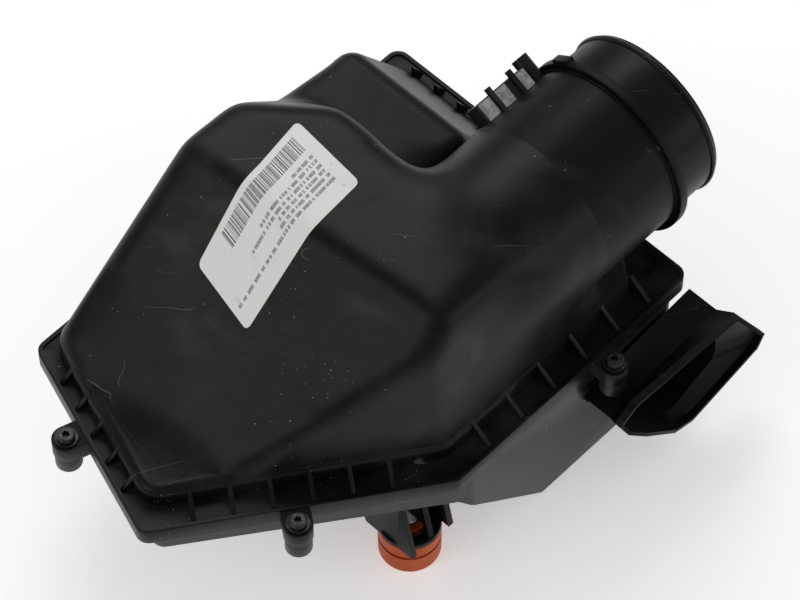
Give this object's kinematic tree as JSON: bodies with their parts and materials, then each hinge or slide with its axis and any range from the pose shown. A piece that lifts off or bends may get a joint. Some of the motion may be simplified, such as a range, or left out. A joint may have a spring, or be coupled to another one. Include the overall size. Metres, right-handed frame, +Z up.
{
  "type": "air filter housing",
  "caption": "Car engine air filter housing: domed black plastic cover with a round outlet, screwed to a deep lower housing with a side intake duct, filter element and rubber feet.",
  "frame": {"origin": "middle of the bottom of the bounding box, on the surface that the housing stands on", "axes": "+Z up, +X along the outlet pipe the way the clean air leaves, -Y the way the intake mouth faces"},
  "size_m": [0.3332, 0.2511, 0.2135],
  "materials": {
    "cover_plastic": "satin black moulded plastic, dusty and scuffed",
    "base_plastic": "satin black moulded plastic, dusty",
    "pipe_plastic": "smoother black plastic pipe",
    "collar_plastic": "black plastic band",
    "duct_plastic": "satin black moulded plastic",
    "bracket_plastic": "black ribbed moulding",
    "frame_plastic": "dark moulded border",
    "screw_steel": "black coated steel screws",
    "bush_steel": "plated steel",
    "insert_brass": "machined brass",
    "liner_aluminium": "rough cast-looking aluminium",
    "seal_rubber": "black rubber",
    "foot_rubber": "orange rubber",
    "filter_rubber": "soft moulded polyurethane rim",
    "gasket_foam": "closed-cell foam",
    "filter_paper": "resin-treated filter paper",
    "glue_beads": "hot-melt glue",
    "label_paper": "off-white paper label with plain printed bars"
  },
  "bodies": {
    "base": {"lower_housing": "base_plastic", "base_inserts": "insert_brass", "drain_valve": "seal_rubber", "front_foot_bracket": "bracket_plastic", "front_rubber_foot": "foot_rubber", "front_foot_sleeve": "bush_steel", "rear_foot_bracket": "bracket_plastic", "rear_rubber_foot": "foot_rubber", "rear_foot_sleeve": "bush_steel"},
    "cover": {"cover_shell": "cover_plastic", "cover_screw_bushes": "bush_steel", "outlet_collar": "collar_plastic", "sensor_port_liner": "liner_aluminium", "sensor_post_insert": "insert_brass", "blank_label": "label_paper"},
    "screws": {"cover_screws": "screw_steel"},
    "outlet": {"outlet_pipe": "pipe_plastic", "outlet_seal_ring": "seal_rubber"},
    "filter": {"filter_seal": "filter_rubber", "filter_frame": "frame_plastic", "filter_pleats": "filter_paper", "filter_glue_beads": "glue_beads"},
    "duct": {"intake_duct": "duct_plastic", "duct_gasket": "gasket_foam"}
  },
  "joints": [
    {"name": "cover_lift", "type": "slide", "parent": "base", "child": "cover", "axis": [0, 0, 1], "range_m": [0, 0.16]},
    {"name": "filter_lift", "type": "slide", "parent": "base", "child": "filter", "axis": [0, 0, 1], "range_m": [0, 0.08]},
    {"name": "screws_out", "type": "slide", "parent": "cover", "child": "screws", "axis": [0, 0, 1], "range_m": [0, 0.014]},
    {"name": "pipe_pull", "type": "slide", "parent": "cover", "child": "outlet", "axis": [1, 0, 0], "range_m": [0, 0.05]},
    {"name": "duct_pull", "type": "slide", "parent": "base", "child": "duct", "axis": [0, -1, 0], "range_m": [0, 0.05]}
  ],
  "couplings": [
    {"joint": "filter_lift", "follows": "cover_lift", "ratio": 0.5}
  ]
}
